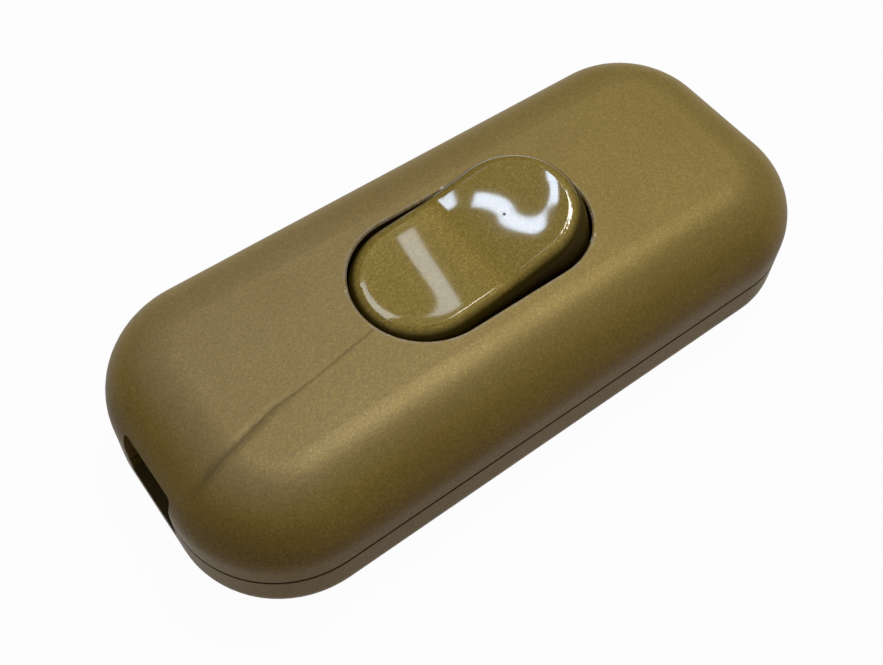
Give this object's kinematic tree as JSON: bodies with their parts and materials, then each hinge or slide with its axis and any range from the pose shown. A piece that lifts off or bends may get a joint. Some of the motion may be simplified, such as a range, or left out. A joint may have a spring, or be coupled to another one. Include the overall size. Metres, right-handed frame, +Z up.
{
  "type": "single-pole switch",
  "caption": "In-line lamp cord switch: rounded two-part housing with a flat cord slot in each end and a dished rocker that tips a see-saw contact to break one core of the cord.",
  "frame": {"origin": "middle of the base's underside", "axes": "+X along the cord towards the end that the rocker shows raised, +Y across the housing, +Z up through the rocker"},
  "size_m": [0.06, 0.0264, 0.016],
  "materials": {
    "housing_plastic": "satin olive gold with fine metallic flakes",
    "rocker_plastic": "gloss olive gold",
    "white_plastic": "natural",
    "clamp_plastic": "satin brown",
    "brass": "stamped",
    "contact_silver": "silver",
    "spring_steel": "drawn wire",
    "screw_steel": "zinc plated"
  },
  "bodies": {
    "housing": {"cover": "housing_plastic", "base": "housing_plastic", "common_strip": "brass", "common_pillar": "brass", "fixed_strip": "brass", "fixed_tip": "contact_silver", "fixed_pillar": "brass", "neutral_bar": "brass", "common_screw": "screw_steel", "fixed_screw": "screw_steel", "neutral_screw_left": "screw_steel", "neutral_screw_right": "screw_steel", "clamp_bar_left": "clamp_plastic", "clamp_bar_right": "clamp_plastic", "clamp_screw_left_near": "screw_steel", "clamp_screw_left_far": "screw_steel", "clamp_screw_right_near": "screw_steel", "clamp_screw_right_far": "screw_steel", "housing_screw_left": "screw_steel", "housing_screw_right": "screw_steel"},
    "rocker": {"rocker": "rocker_plastic", "plunger_spring": "spring_steel"},
    "plunger": {"plunger": "white_plastic"},
    "see_saw": {"contact_strip": "brass", "moving_tip": "contact_silver"}
  },
  "joints": [
    {"name": "rocker_pivot", "type": "hinge", "parent": "housing", "child": "rocker", "pos_m": [0, 0, 0.0099], "axis": [0, 1, 0], "range_deg": [0, 20]},
    {"name": "plunger_slide", "type": "slide", "parent": "rocker", "child": "plunger", "axis": [-0.1736, 0, 0.9848], "range_m": [0, 0.0008], "stiffness_N_per_m": 150, "springref_m": -0.002, "deforming": ["plunger_spring"]},
    {"name": "see_saw_pivot", "type": "hinge", "parent": "housing", "child": "see_saw", "pos_m": [0, 0, 0.00441], "axis": [0, 1, 0], "range_deg": [-12, 0]}
  ],
  "couplings": [
    {"joint": "see_saw_pivot", "follows": "rocker_pivot", "ratio": -0.6}
  ]
}
